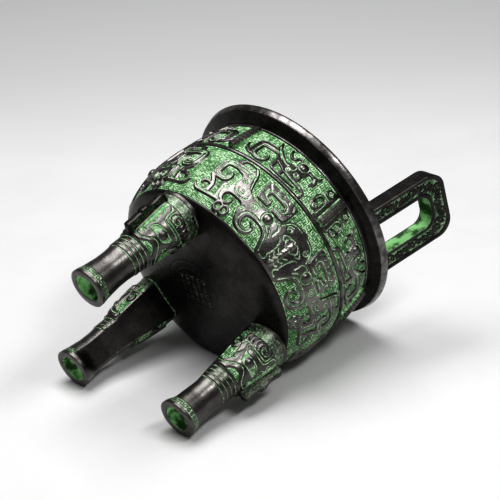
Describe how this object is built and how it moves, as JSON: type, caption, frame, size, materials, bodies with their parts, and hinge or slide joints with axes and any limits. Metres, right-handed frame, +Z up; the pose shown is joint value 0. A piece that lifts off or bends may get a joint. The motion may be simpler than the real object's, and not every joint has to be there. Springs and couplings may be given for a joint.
{
  "type": "bronze ding vessel",
  "caption": "Round lipped bronze cauldron on D-section legs, with upright loop handles, belly masks and a dragon frieze in relief.",
  "frame": {"origin": "on the bowl's axis, at the level of the feet", "axes": "+Z up through the bowl's mouth, X through both handles, the single front leg towards -Y"},
  "size_m": [0.172, 0.16, 0.2221],
  "materials": {
    "patinated_bronze": "cast bronze, black-brown and slightly polished on the raised metal, matt pale green patina in the ground"
  },
  "bodies": {
    "root": {"ding_vessel": "patinated_bronze"}
  },
  "joints": []
}
